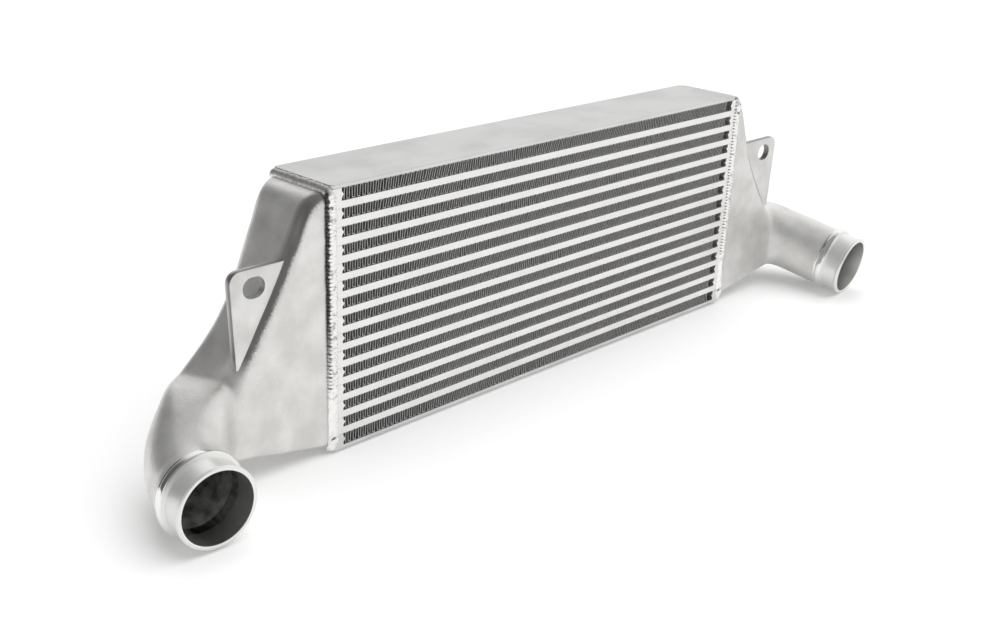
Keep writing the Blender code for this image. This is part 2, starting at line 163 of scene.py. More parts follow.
for panel_name, (centre, edge_start, edge_end, level) in PANELS.items():
    toward = add_node(tree, "ShaderNodeVectorMath", {
        0: direction, 1: Vector(centre).normalized(),
    }, operation="DOT_PRODUCT", label=panel_name)
    panel = add_node(tree, "ShaderNodeMapRange", {
        "Value": toward.outputs["Value"], "From Min": edge_start, "From Max": edge_end, "To Max": level,
    }, interpolation_type="SMOOTHSTEP")
    in_metal = add_node(tree, "ShaderNodeMath", {0: in_metal, 1: panel})
in_metal = add_node(tree, "ShaderNodeMath", {0: in_metal, 1: ROOM_WHITE}, operation="MINIMUM")
rays = add_node(tree, "ShaderNodeLightPath", {})
glossy_or_glass = add_node(tree, "ShaderNodeMath", {
    0: rays.outputs["Is Glossy Ray"], 1: rays.outputs["Is Transmission Ray"],
}, operation="MAXIMUM")
lit_level = add_node(tree, "ShaderNodeMix", {0: glossy_or_glass, 2: ROOM_DIM, 3: in_metal})
room_level = add_node(tree, "ShaderNodeMix", {0: rays.outputs["Is Camera Ray"], 2: lit_level, 3: 1.0})
room_light = add_node(tree, "ShaderNodeBackground", {"Color": colour("ffffff"), "Strength": room_level})
add_node(tree, "ShaderNodeOutputWorld", {"Surface": room_light})

soft_light = bpy.data.lights.new("broad_soft_light", "SUN")
soft_light.energy = 2.35
soft_light.angle = math.radians(70)
light_stand = place("broad_soft_light", soft_light)
light_stand.rotation_euler = LIGHT_FROM.to_track_quat("Z", "Y").to_euler()
light_stand.visible_glossy = False

bpy.context.scene.view_settings.view_transform = "Standard"


# Charge tubes. Each is two thin parting sheets brazed to a bar at the front and back, with the short pointed end
# bars of the air row above brazed on; the bars are extruded aluminium, linished bright on the face of the core.


FIN_AREA_HALF = 246.8 * mm
NOSE_TIP = FIN_AREA_HALF - 2.0 * mm
BRAZE_GAP = 0.3 * mm
BAR_EDGE = 0.3 * mm

# Extruded aluminium, linished: close to white, with a fine sanded grain and faint grey patches.
bar_metal, tree, spot = new_material("linished_bar_aluminium")
grain = add_node(tree, "ShaderNodeTexNoise", {"Vector": spot, "Scale": 1 / (1.2 * mm), "Detail": 3.0})
patches = add_node(tree, "ShaderNodeTexNoise", {"Vector": spot, "Scale": 1 / (22 * mm), "Detail": 2.0})
tone = add_node(tree, "ShaderNodeMix", {0: patches, 6: colour("e4e3e0"), 7: colour("f3f2f0")}, data_type="RGBA")
roughness = add_node(tree, "ShaderNodeMapRange", {"Value": grain, "To Min": 0.34, "To Max": 0.52})
sanding = add_node(tree, "ShaderNodeBump", {"Height": grain, "Strength": 0.5, "Distance": 0.08 * mm})
surface = add_node(tree, "ShaderNodeBsdfPrincipled", {
    "Base Color": tone.outputs[2], "Metallic": 1.0, "Roughness": roughness, "Normal": sanding,
})
add_node(tree, "ShaderNodeOutputMaterial", {"Surface": surface})


def coat(mesh, metal):
    """Give a mesh one material."""
    mesh.materials.clear()
    mesh.materials.append(metal)


def modify(made, name, kind, **settings):
    """Add a modifier and set its properties."""
    modifier = made.modifiers.new(name, kind)
    for setting, value in settings.items():
        setattr(modifier, setting, value)
    return modifier


def settle(made):
    """Turn what a piece's modifiers give into its plain mesh, and take the modifiers off."""
    plain = bpy.data.meshes.new_from_object(made.evaluated_get(bpy.context.evaluated_depsgraph_get()))
    made.modifiers.clear()
    made.data = plain


def broken_edge_copy(name, node, edge, closed_gap, metal):
    """A copy of a solid with its edges broken and the noses of its end bars drawn true; its top is raised by the
    gap that brazing metal closes."""
    shape = bmesh.new()
    shape.from_mesh(nodes[node].data)
    bmesh.ops.remove_doubles(shape, verts=shape.verts, dist=0.001 * mm)
    bmesh.ops.dissolve_limit(shape, angle_limit=math.radians(1), verts=shape.verts, edges=shape.edges)
    top = max(corner.co.z for corner in shape.verts)
    for corner in shape.verts:
        if top - corner.co.z < closed_gap:
            corner.co.z += closed_gap
        if abs(corner.co.x) < NOSE_TIP:
            corner.co.x = math.copysign(NOSE_TIP, corner.co.x)
    mesh = bpy.data.meshes.new(name)
    shape.to_mesh(mesh)
    shape.free()
    made = place(name, mesh)
    modify(made, "broken_edge", "BEVEL", width=edge, segments=2, limit_method="ANGLE")
    settle(made)
    coat(made.data, metal)
    return made


for node in sorted(name for name in nodes if name.startswith("charge_tube")):
    bars = broken_edge_copy(f"{node}_bars", node, BAR_EDGE, BRAZE_GAP, bar_metal)
    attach(bars, "root")
    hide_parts(node)


# Air fins. Thin aluminium sheet is folded into a herringbone and brazed between the tubes, fifteen rows of it;
# the folds shift as the core is stacked, so in most places the strokes lean a little to the right. The sheet is
# drawn thicker than the real 0.2 mm, so that its strokes show.


FIN_PITCH = 5.0 * mm
FIN_CREST = 2.4 * mm
FIN_SHEET = 0.5 * mm
FIN_BENDS = 12
FIN_ZIGZAG = 2.2 * mm
FIN_SHEAR = 2.4 * mm
UPRIGHT_LENGTH = 80.0 * mm
FIN_LEAN = 0.3 * mm
FIN_END_GAP = 0.2 * mm

# Rolled fin stock after brazing: bright where its edge was cut, and dull grey under a film of flux on its faces.
fin_metal, tree, spot = new_material("brazed_fin_sheet")
stains = add_node(tree, "ShaderNodeTexNoise", {"Vector": spot, "Scale": 1 / (9 * mm), "Detail": 4.0})
flux_tone = add_node(tree, "ShaderNodeMix", {0: stains, 6: colour("a09f9d"), 7: colour("bab9b7")}, data_type="RGBA")
shape = add_node(tree, "ShaderNodeNewGeometry", {})
facing_parts = add_node(tree, "ShaderNodeSeparateXYZ", {0: shape.outputs["Normal"]})
facing_out = add_node(tree, "ShaderNodeMath", {0: facing_parts.outputs["Y"]}, operation="ABSOLUTE")
cut_edge = add_node(tree, "ShaderNodeMapRange", {"Value": facing_out, "From Min": 0.6, "From Max": 0.8})
tone = add_node(tree, "ShaderNodeMix", {0: cut_edge, 6: flux_tone.outputs[2], 7: colour("dededd")}, data_type="RGBA")
surface = add_node(
    tree, "ShaderNodeBsdfPrincipled", {"Base Color": tone.outputs[2], "Metallic": 0.35, "Roughness": 0.6}
)
add_node(tree, "ShaderNodeOutputMaterial", {"Surface": surface})

folding = bpy.data.node_groups.new("folded_fin_row", "GeometryNodeTree")
folding.interface.new_socket("Geometry", in_out="OUTPUT", socket_type="NodeSocketGeometry")
for label in ("Start", "Length", "Height", "Depth", "Base", "Pitch", "Crest", "Zigzag", "Shear", "Lean"):
    folding.interface.new_socket(label, in_out="INPUT", socket_type="NodeSocketFloat")
for label in ("Bends", "Seed"):
    folding.interface.new_socket(label, in_out="INPUT", socket_type="NodeSocketInt")
flat_parts = add_node(folding, "ShaderNodeSeparateXYZ", {0: add_node(folding, "GeometryNodeInputPosition", {})})
value = dict(add_node(folding, "NodeGroupInput", {}).outputs.items())
value.update(flat_x=flat_parts.outputs["X"], flat_y=flat_parts.outputs["Y"])
# A flat grid, with its columns along the core and its bends over the depth, is folded by moving its points. Each
# quantity is one sum: its name, the operation and the terms, which are numbers, inputs and quantities before it.
for name, operation, *terms in (
    ("wave_count", "DIVIDE", "Length", "Pitch"),
    ("waves", "ROUND", "wave_count"),
    ("columns", "MULTIPLY", "waves", 4.0),
    ("column_points", "ADD", "columns", 1.0),
    ("bend_points", "ADD", "Bends", 1.0),
    ("half_columns", "DIVIDE", "columns", 2.0),
    ("column_raw", "ADD", "flat_x", "half_columns"),
    ("column", "ROUND", "column_raw"),
    ("half_bends", "DIVIDE", "Bends", 2.0),
    ("bend_raw", "ADD", "flat_y", "half_bends"),
    ("bend", "ROUND", "bend_raw"),
    # Up: every second pair of columns is a crest
    ("next_column", "ADD", "column", 1.0),
    ("fold_raw", "DIVIDE", "next_column", 2.0),
    ("fold", "FLOOR", "fold_raw"),
    ("on_crest", "MODULO", "fold", 2.0),
    ("up", "MULTIPLY_ADD", "on_crest", "Height", "Base"),
    # Back: the bends are spread over the depth
    ("bend_share", "DIVIDE", "flat_y", "Bends"),
    ("back", "MULTIPLY", "bend_share", "Depth"),
    # Along: half a pitch for each pair of columns, a leg's run for the odd one, and the zigzag
    ("half_pitch", "DIVIDE", "Pitch", 2.0),
    ("leg_run", "SUBTRACT", "half_pitch", "Crest"),
    ("pair_raw", "DIVIDE", "column", 2.0),
    ("pair", "FLOOR", "pair_raw"),
    ("odd_column", "MODULO", "column", 2.0),
    ("along_pairs", "MULTIPLY_ADD", "pair", "half_pitch", "Start"),
    ("along_legs", "MULTIPLY_ADD", "odd_column", "leg_run", "along_pairs"),
    ("odd_bend", "MODULO", "bend", 2.0),
    ("along_zigzag", "MULTIPLY_ADD", "odd_bend", "Zigzag", "along_legs"),
    ("upright_to", "ADD", "Start", UPRIGHT_LENGTH),
):
    value[name] = add_node(folding, "ShaderNodeMath", {
        index: value.get(term, term) for index, term in enumerate(terms)
    }, operation=operation, label=name)
# Along, too: the crests' shift to the right, which comes and goes along the row and leaves its left end upright, and
# each fold's own lean
drift_place = add_node(folding, "ShaderNodeCombineXYZ", {0: value["along_pairs"], 1: value["Seed"]})
drift = add_node(folding, "ShaderNodeTexNoise", {"Vector": drift_place, "Scale": 1 / (70 * mm), "Detail": 0.0})
value["drift"] = add_node(folding, "ShaderNodeMapRange", {"Value": drift, "From Min": 0.3, "From Max": 0.55})
value["settled"] = add_node(folding, "ShaderNodeMapRange", {
    "Value": value["along_pairs"], "From Min": value["Start"], "From Max": value["upright_to"],
})
value["lean"] = add_node(folding, "FunctionNodeRandomValue", {
    2: -1.0, 3: 1.0, "ID": value["fold"], "Seed": value["Seed"],
}, data_type="FLOAT").outputs[1]
for name, operation, *terms in (
    ("drift_here", "MULTIPLY", "drift", "settled"),
    ("crest_shift", "MULTIPLY", "drift_here", "on_crest"),
    ("along_shift", "MULTIPLY_ADD", "crest_shift", "Shear", "along_zigzag"),
    ("along", "MULTIPLY_ADD", "lean", "Lean", "along_shift"),
):
    value[name] = add_node(folding, "ShaderNodeMath", {
        index: value.get(term, term) for index, term in enumerate(terms)
    }, operation=operation, label=name)
flat_sheet = add_node(folding, "GeometryNodeMeshGrid", {
    "Size X": value["columns"], "Size Y": value["Bends"],
    "Vertices X": value["column_points"], "Vertices Y": value["bend_points"],
})
folded_place = add_node(folding, "ShaderNodeCombineXYZ", {0: value["along"], 1: value["back"], 2: value["up"]})
folded_sheet = add_node(folding, "GeometryNodeSetPosition", {"Geometry": flat_sheet, "Position": folded_place})
real_sheet = add_node(folding, "GeometryNodeRealizeInstances", {"Geometry": folded_sheet})
coated_sheet = add_node(folding, "GeometryNodeSetMaterial", {"Geometry": real_sheet, "Material": fin_metal})
add_node(folding, "NodeGroupOutput", {"Geometry": coated_sheet})


def run_nodes(made, name, group, sizes):
    """Add a Geometry Nodes modifier, and give the inputs of its group their sizes by name."""
    steps = modify(made, name, "NODES", node_group=group)
    for item in group.interface.items_tree:
        if item.name in sizes:
            steps[item.identifier] = sizes[item.name]


row_end = NOSE_TIP - FIN_END_GAP - FIN_SHEET / 2 - FIN_LEAN
row_length = 2 * row_end - FIN_ZIGZAG - FIN_SHEAR
for row, node in enumerate(sorted(name for name in nodes if name.startswith("air_fin")), start=1):
    low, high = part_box(node)
    sheet = place(f"{node}_folded_sheet", bpy.data.meshes.new(f"{node}_folded_sheet"))
    run_nodes(sheet, "folding", folding, {
        "Start": -row_end, "Length": row_length, "Pitch": row_length / round(row_length / FIN_PITCH),
        "Base": low[2] + FIN_SHEET / 2, "Height": high[2] - low[2] - FIN_SHEET, "Depth": high[1] - low[1],
        "Crest": FIN_CREST, "Zigzag": FIN_ZIGZAG, "Shear": FIN_SHEAR, "Lean": FIN_LEAN,
        "Bends": FIN_BENDS, "Seed": row,
    })
    modify(sheet, "sheet", "SOLIDIFY", thickness=FIN_SHEET, offset=0)
    settle(sheet)
    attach(sheet, "root")
    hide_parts(node)


# Turbulators. The same fin stock, folded once more and slid into each tube to stir the charge air; they are inside
# the core, so the solids stay as they are and take the fin sheet's finish.


for node in sorted(name for name in nodes if name.startswith("turbulator")):
    nodes[node].material_slots[0].material = fin_metal


# Cover plates. Rolled aluminium sheet closes the core above and below; the lower one carries the end bars of the
# first air row, and the top one has its right-hand corners rounded.


PLATE_EDGE = 0.5 * mm

# Mill-finish aluminium sheet: an even satin grey with rolling lines along the core and a few faint smudges.
plate_metal, tree, spot = new_material("mill_finish_aluminium_sheet")
stretched = add_node(
    tree, "ShaderNodeMapping", {"Vector": spot, "Scale": (1 / (60 * mm), 1 / (0.9 * mm), 1 / (0.9 * mm))}
)
rolling = add_node(tree, "ShaderNodeTexNoise", {"Vector": stretched, "Scale": 1.0, "Detail": 3.0})
smudges = add_node(tree, "ShaderNodeTexNoise", {"Vector": spot, "Scale": 1 / (45 * mm), "Detail": 3.0})
smudge_share = add_node(tree, "ShaderNodeMapRange", {"Value": smudges, "From Min": 0.42, "From Max": 0.72})
tone = add_node(tree, "ShaderNodeMix", {0: smudge_share, 6: colour("dadad9"), 7: colour("cbcbca")}, data_type="RGBA")
roughness = add_node(tree, "ShaderNodeMapRange", {"Value": rolling, "To Min": 0.34, "To Max": 0.48})
lines = add_node(tree, "ShaderNodeBump", {"Height": rolling, "Strength": 0.25, "Distance": 0.05 * mm})
surface = add_node(tree, "ShaderNodeBsdfPrincipled", {
    "Base Color": tone.outputs[2], "Metallic": 1.0, "Roughness": roughness, "Normal": lines,
})
add_node(tree, "ShaderNodeOutputMaterial", {"Surface": surface})

for node, closed_gap in (("bottom_plate", BRAZE_GAP), ("top_plate", 0)):
    plate = broken_edge_copy(f"{node}_sheet", node, PLATE_EDGE, closed_gap, plate_metal)
    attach(plate, "root")
    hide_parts(node)


# End tanks. Each is one sand casting in aluminium: a box that leaves the core, falls in a long slope and bends
# forward into a round pipe, with a slotted mounting tab cast on its front. The rim is welded to the core.


HALF_CORE = 256.3 * mm
CORE_FRONT = -35.0 * mm
RIM_TOP = 209.65 * mm
RIM_BASE = 3.4 * mm
RIM_HALF_DEPTH = 33.8 * mm
TANK_GAP = 0.3 * mm
TANK_WALL = 3.6 * mm
TANK_REACH = 88.0 * mm
TANK_BACK_TAPER = 18.0 * mm
BEND_START_TOP = 83.9 * mm
BEND_START_BASE = 19.3 * mm
BEND_START_TURN = math.radians(25.9)
RIM_CORNER = 5.0 * mm
FRONT_EDGE = 14.0 * mm
BACK_EDGE = 12.0 * mm
BASE_EDGE = 6.0 * mm
TOP_EDGE_DRAW = 1.9
SHOULDER_SHARE = 0.37
CORNER_POINTS = 14
BEND_STEPS = 30
BEND_START_HANDLE = 0.6
BEND_END_HANDLE = 0.5
BEND_ROUND_SHARE = 0.5
BEND_FLATTENING = 3.7 * mm
FLATTENING_COMES = 0.25
FLATTENING_GOES = 0.15
PIPE_RADIUS = 31.5 * mm
SPIGOT_LENGTH = 28.0 * mm
OUTLINE_STEPS = 5
OUTLINE_FAIRING = 12
# From the rim outward: share of the reach, of the top edge's fall, and of the bend's first turn
TANK_OUTLINE = (
    (0.0, 0.0, 0.0),
    (0.125, 0.008, -0.025),
    (0.216, 0.038, -0.043),
    (0.284, 0.095, -0.056),
    (0.341, 0.176, -0.067),
    (0.398, 0.231, -0.073),
    (0.492, 0.368, -0.073),
    (0.682, 0.599, -0.135),
    (0.852, 0.795, 0.1),
    (1.0, 1.0, 1.0),
)
# Each mouth's place beyond the core's end, front and underside, and the way it points, in degrees; how much that
# end sits lower, and how far the upper slope is drawn toward the core
OUTLETS = {
    "left": {
        "side": -1, "mouth": (145.5 * mm, 56.4 * mm, 29.1 * mm),
        "toe_out": 3.3, "droop": 1.9, "lower": 0, "early": 0,
    },
    "right": {
        "side": 1, "mouth": (141.4 * mm, 71.2 * mm, 24.4 * mm),
        "toe_out": 5.5, "droop": 9.3, "lower": 4.0 * mm, "early": 0.115,
    },
}
TAB_FRONT = -29.0 * mm
TAB_THICKNESS = 6.0 * mm
TAB_TOP = 165.1 * mm
TAB_TIP = 90.6 * mm
TAB_REACH = 87.0 * mm
TAB_TIP_REACH = 84.0 * mm
TAB_ROOT = 26.4 * mm
TAB_CORNER = 9.0 * mm
SLOT_CENTRE = 66.4 * mm
SLOT_HEIGHT = 150.6 * mm
SLOT_LENGTH = 19.4 * mm
SLOT_WIDTH = 16.2 * mm
TAB_EDGE = 0.7 * mm
ARC_STEPS = 8
DUCT_FLARE = 1.5
END_STOCK = 4.0 * mm
CAST_VOXEL = 1.3 * mm
CAST_SMOOTHING = 5
ROOT_SMOOTHING = 90
CAST_SHARP_ANGLE = math.radians(28)
# Where the smoothing of the bend's root comes and goes beyond the core's end, and goes above the core's underside,
# and the length that each takes
ROOT_COMES = (48 * mm, 24 * mm)
ROOT_GOES = (112 * mm, 18 * mm)
ROOT_GOES_ABOVE = (104 * mm, 20 * mm)
UP = Vector((0, 0, 1))


def mix(first, second, share):
    """A value between two others."""
    return first + (second - first) * share


def eased(share):
    """A share held between none and all, with a soft start and end."""
    share = max(0.0, min(1.0, share))
    return share * share * (3 - 2 * share)


def eased_past(place_now, start, length):
    """How far a place has gone through a length from a start, as an eased share."""
    return eased((place_now - start) / length)


def skin(name, rings, closed=False):
    """A closed surface over a row of point rings; closed joins the last ring to the first."""
    shape = bmesh.new()
    loops = [[shape.verts.new(point) for point in ring] for ring in rings]
    following = loops[1:] + loops[:1] if closed else loops[1:]
    for near, far in zip(loops, following):
        for index, corner in enumerate(near):
            shape.faces.new((corner, near[index - 1], far[index - 1], far[index]))
    if not closed:
        shape.faces.new(loops[0])
        shape.faces.new(loops[-1])
    bmesh.ops.recalc_face_normals(shape, faces=shape.faces)
    mesh = bpy.data.meshes.new(name)
    shape.to_mesh(mesh)
    shape.free()
    return mesh


def joined_or_cut(mesh, tool_mesh, operation):
    """The union or difference of two closed meshes; each face keeps its own mesh's material."""
    base = place("base", mesh)
    tool = place("tool", tool_mesh)
    modify(base, "cut", "BOOLEAN", operation=operation, object=tool, solver="EXACT", material_mode="TRANSFER")
    settle(base)
    result = base.data
    bpy.data.objects.remove(base)
    bpy.data.objects.remove(tool)
    return result


def smooth_outline():
    """The tank's outline with a smooth curve drawn through its rows, and the waves between them faired out."""
    rows = [Vector(row) for row in TANK_OUTLINE]
    outline = []
    for index in range(len(rows) - 1):
        near, far = rows[index], rows[index + 1]
        before = rows[index - 1] if index else near
        after = rows[index + 2] if index + 2 < len(rows) else far
        for step in range(OUTLINE_STEPS):
            t = step / OUTLINE_STEPS
            outline.append((
                near * 2 + (far - before) * t
                + (before * 2 - near * 5 + far * 4 - after) * t * t
                + (near * 3 - before - far * 3 + after) * t ** 3
            ) / 2)
    outline.append(rows[-1])
    for _ in range(OUTLINE_FAIRING):
        faired = [(before + here * 2 + after) / 4 for before, here, after in zip(outline, outline[1:], outline[2:])]
        outline = [outline[0], *faired, outline[-1]]
    return outline


def rounded_ring(centre, across, up, half_depth, half_height, radii):
    """A rounded rectangle: back top, front top, front base and back base corner, each with two radii."""
    ring = []
    for quarter, ((side, level), (depth, height)) in enumerate(zip(((1, 1), (-1, 1), (-1, -1), (1, -1)), radii)):
        for step in range(CORNER_POINTS):
            angle = (quarter + (step + 0.5) / CORNER_POINTS) * math.pi / 2
            along = side * (half_depth - depth) + depth * math.cos(angle)
            rise = level * (half_height - height) + height * math.sin(angle)
            ring.append(centre + across * along + up * rise)
    return ring


def outlet_aim(outlet):
    """The way an outlet's mouth points, for the right-hand end."""
    toe_out = math.radians(outlet["toe_out"])
    droop = math.radians(outlet["droop"])
    return Vector((math.sin(toe_out) * math.cos(droop), -math.cos(toe_out) * math.cos(droop), -math.sin(droop)))


def outlet_point(outlet, distance):
    """A point on an outlet's axis, counted from the centre of its mouth, for the right-hand end."""
    out, forward, height = outlet["mouth"]
    return Vector((HALF_CORE + out, CORE_FRONT - forward, height)) + outlet_aim(outlet) * distance


def casting_rings(outlet, inset):
    """The casting's sections from the rim to the end of the pipe; inset draws them in by the wall."""
    rings = []
    for reach_share, fall_share, turn_share in smooth_outline():
        reach_share -= outlet["early"] * 4 * reach_share * (1 - reach_share)
        depth_lost = TANK_BACK_TAPER * reach_share
        half_depth = RIM_HALF_DEPTH - depth_lost / 2 - inset
        top = mix(RIM_TOP, BEND_START_TOP - outlet["lower"], fall_share) - inset
        base = mix(RIM_BASE, BEND_START_BASE - outlet["lower"], reach_share) + inset
        half_height = (top - base) / 2
        lean = math.tan(BEND_START_TURN) * turn_share
        middle = -depth_lost / 2
        reach = TANK_GAP + TANK_REACH * reach_share + lean * (middle + RIM_HALF_DEPTH)
        centre = Vector((HALF_CORE + reach, middle, base + half_height))
        swell = min(1.0, reach_share / SHOULDER_SHARE)
        radii = []
        for full, draw in ((BACK_EDGE, TOP_EDGE_DRAW), (FRONT_EDGE, TOP_EDGE_DRAW), (BASE_EDGE, 1), (BASE_EDGE, 1)):
            radius = mix(RIM_CORNER, full, swell)
            radii.append((radius - inset, radius * mix(1, draw, swell) - inset))
        rings.append(rounded_ring(centre, Vector((lean, 1, 0)), UP, half_depth, half_height, radii))
    start_heading = Vector((math.cos(BEND_START_TURN), -math.sin(BEND_START_TURN), 0))
    end = outlet_point(outlet, -SPIGOT_LENGTH - TANK_GAP)
    first = centre + start_heading * (end.x - centre.x) * BEND_START_HANDLE
    last = end - outlet_aim(outlet) * (centre.y - end.y) * BEND_END_HANDLE
    pipe = PIPE_RADIUS - inset
    for step in range(1, BEND_STEPS + 1):
        t = step / BEND_STEPS
        s = 1 - t
        point = centre * s ** 3 + first * 3 * s * s * t + last * 3 * s * t * t + end * t ** 3
        heading = (first - centre) * s * s + (last - first) * 2 * s * t + (end - last) * t * t
        heading.normalize()
        across = UP.cross(heading).normalized()
        round_share = eased(t / BEND_ROUND_SHARE)
        half_width = mix(half_depth / math.cos(BEND_START_TURN), pipe, round_share)
        ring = rounded_ring(
            point, across, heading.cross(across), half_width, mix(half_height, pipe, round_share),
            [[mix(radius, pipe, round_share) for radius in pair] for pair in radii],
        )
        flattening = BEND_FLATTENING * eased(t / FLATTENING_COMES) * eased(s / FLATTENING_GOES) / half_width
        rings.append([spot - across * max(0, (spot - point).dot(across)) * flattening for spot in ring])
    return rings


def tab_solid(lower):
    """The mounting tab: level top edge, rounded outer corner and a lower end that runs out on the wall."""
    outline = [(TAB_ROOT, TAB_TIP - lower), (TAB_TIP_REACH, TAB_TIP - lower)]
    for step in range(ARC_STEPS + 1):
        angle = step / ARC_STEPS * math.pi / 2
        outline.append((
            TAB_REACH - TAB_CORNER + TAB_CORNER * math.cos(angle),
            TAB_TOP - lower - TAB_CORNER + TAB_CORNER * math.sin(angle),
        ))
    outline.append((TAB_ROOT, TAB_TOP - lower))
    faces = (TAB_FRONT, TAB_FRONT + TAB_THICKNESS)
    tab = place("tab", skin("tab", [[(HALF_CORE + x, y, z) for x, z in outline] for y in faces]))
    modify(tab, "soft_edge", "BEVEL", width=TAB_EDGE, segments=2, limit_method="ANGLE")
    settle(tab)
    mesh = tab.data
    bpy.data.objects.remove(tab)
    return mesh


def slot_cutter(lower):
    """The cutter for the tab's slot, which is longer along the core than it is high."""
    radius = SLOT_WIDTH / 2
    outline = []
    for side, turn in ((1, -math.pi / 2), (-1, math.pi / 2)):
        for step in range(2 * ARC_STEPS + 1):
            angle = turn + step / (2 * ARC_STEPS) * math.pi
            outline.append((
                HALF_CORE + SLOT_CENTRE + side * (SLOT_LENGTH / 2 - radius) + radius * math.cos(angle),
                SLOT_HEIGHT - lower + radius * math.sin(angle),
            ))
    faces = (TAB_FRONT - TAB_THICKNESS, TAB_FRONT + 2 * TAB_THICKNESS)
    return skin("slot", [[(x, y, z) for x, z in outline] for y in faces])


# Sand-cast aluminium, shot-blasted: a matt grey with a sandy grain, clouds and flow marks left by the mould, and
# small pale pits. The round edges beside the front faces are darkened, with a ragged border, where they turn away
# from the front: painted shade. A dark line of painted shade, with some soot, lies on the front along the upper weld.
cast_metal, tree, spot = new_material("blasted_cast_aluminium")
clouds = add_node(tree, "ShaderNodeTexNoise", {"Vector": spot, "Scale": 1 / (26 * mm), "Detail": 4.0})
flow_lines = add_node(
    tree, "ShaderNodeMapping", {"Vector": spot, "Scale": (1 / (14 * mm), 1 / (14 * mm), 1 / (40 * mm))}
)
flow = add_node(tree, "ShaderNodeTexNoise", {"Vector": flow_lines, "Scale": 1.0, "Detail": 3.0})
grain = add_node(tree, "ShaderNodeTexNoise", {"Vector": spot, "Scale": 1 / (1.5 * mm), "Detail": 4.0})
pits = add_node(tree, "ShaderNodeTexVoronoi", {"Vector": spot, "Scale": 1 / (9 * mm)})
facing_parts = add_node(tree, "ShaderNodeSeparateXYZ", {
    0: add_node(tree, "ShaderNodeNewGeometry", {}).outputs["Normal"],
})
ragged_facing = add_node(tree, "ShaderNodeMath", {
    0: grain, 1: 0.22, 2: facing_parts.outputs["Y"],
}, operation="MULTIPLY_ADD")
spot_x, spot_y, spot_z = add_node(tree, "ShaderNodeSeparateXYZ", {0: spot}).outputs
from_middle = add_node(tree, "ShaderNodeMath", {0: spot_x}, operation="ABSOLUTE")
ragged_soot_and_shade = add_node(tree, "ShaderNodeMath", {0: flow, 1: 7 * mm, 2: from_middle}, operation="MULTIPLY_ADD")
# What each share or value follows, where it starts and stops changing, and what it is before and after. The
# right-hand casting is made less metallic than the left-hand one, so that it renders paler: painted light.
shares = {
    "clouds": (clouds, 0.36, 0.66, 0.0, 1.0),
    "pits": (pits.outputs["Distance"], 0.05, 0.1, 0.55, 0.0),
    # The skin share is painted shade: it darkens the front's round edges where they turn away from the front.
    "skin": (spot_y, -27 * mm, -22 * mm, 0.85, 0.0),
    "shade_turned_away": (ragged_facing, -0.84, -0.74, 0.0, 1.0),
    "shade_above_bend": (spot_z, 84 * mm, 100 * mm, 0.0, 1.0),
    # The soot share is painted shade with some soot: a dark line on the front beside the upper part of the weld.
    "soot_and_shade": (ragged_soot_and_shade, HALF_CORE + 8.6 * mm, HALF_CORE + 10.4 * mm, 0.85, 0.0),
    "soot_and_shade_on_front": (spot_y, -33 * mm, -29 * mm, 1.0, 0.0),
    "soot_and_shade_above": (spot_z, 56 * mm, 110 * mm, 0.0, 1.0),
    "roughness": (flow, 0.3, 0.7, 0.44, 0.34),
    # Painted light: the right-hand casting is less metallic than the left, so it renders paler.
    "metallic": (spot_x, -HALF_CORE, HALF_CORE, 0.75, 0.5),
}
for name, (source, start, stop, before, after) in shares.items():
    shares[name] = add_node(tree, "ShaderNodeMapRange", {
        "Value": source, "From Min": start, "From Max": stop, "To Min": before, "To Max": after,
    }, label=name)
for whole, limit in (
    ("skin", "shade_turned_away"), ("skin", "shade_above_bend"), ("soot_and_shade", "soot_and_shade_on_front"), ("soot_and_shade", "soot_and_shade_above"),
):
    shares[whole] = add_node(tree, "ShaderNodeMath", {0: shares[whole], 1: shares[limit]}, operation="MULTIPLY")
# The two dark tones at the end are painted shade: the dark round edges, and the line by the weld with some soot.
tone = colour("d6d5d2")
for name, code in (("clouds", "e9e8e6"), ("pits", "f6f5f3"), ("skin", "747270"), ("soot_and_shade", "5a5856")):
    tone = add_node(tree, "ShaderNodeMix", {0: shares[name], 6: tone, 7: colour(code)}, data_type="RGBA").outputs[2]
flow_height = add_node(tree, "ShaderNodeBump", {"Height": flow, "Strength": 0.5, "Distance": 0.9 * mm})
grain_height = add_node(
    tree, "ShaderNodeBump", {"Height": grain, "Strength": 1.0, "Distance": 0.2 * mm, "Normal": flow_height}
)
surface = add_node(tree, "ShaderNodeBsdfPrincipled", {
    "Base Color": tone, "Metallic": shares["metallic"], "Roughness": shares["roughness"], "Normal": grain_height,
})
add_node(tree, "ShaderNodeOutputMaterial", {"Surface": surface})

# The casting as it left the sand, on the walls of the duct and the slot: dark, blotchy and dull.
duct_metal, tree, spot = new_material("raw_cast_aluminium")
blotches = add_node(tree, "ShaderNodeTexNoise", {"Vector": spot, "Scale": 1 / (11 * mm), "Detail": 5.0})
blotch_share = add_node(tree, "ShaderNodeMapRange", {"Value": blotches, "From Min": 0.38, "From Max": 0.62})
tone = add_node(tree, "ShaderNodeMix", {0: blotch_share, 6: colour("747372"), 7: colour("b9b8b6")}, data_type="RGBA")
surface = add_node(
    tree, "ShaderNodeBsdfPrincipled", {"Base Color": tone.outputs[2], "Metallic": 0.45, "Roughness": 0.55}
)
add_node(tree, "ShaderNodeOutputMaterial", {"Surface": surface})


def mirrored(mesh, side):
    """The mesh itself for the right-hand end, or turned over for the left-hand one."""
    if side < 0:
        mesh.transform(Matrix.Scale(-1, 4, Vector((1, 0, 0))))
        mesh.flip_normals()
    return mesh


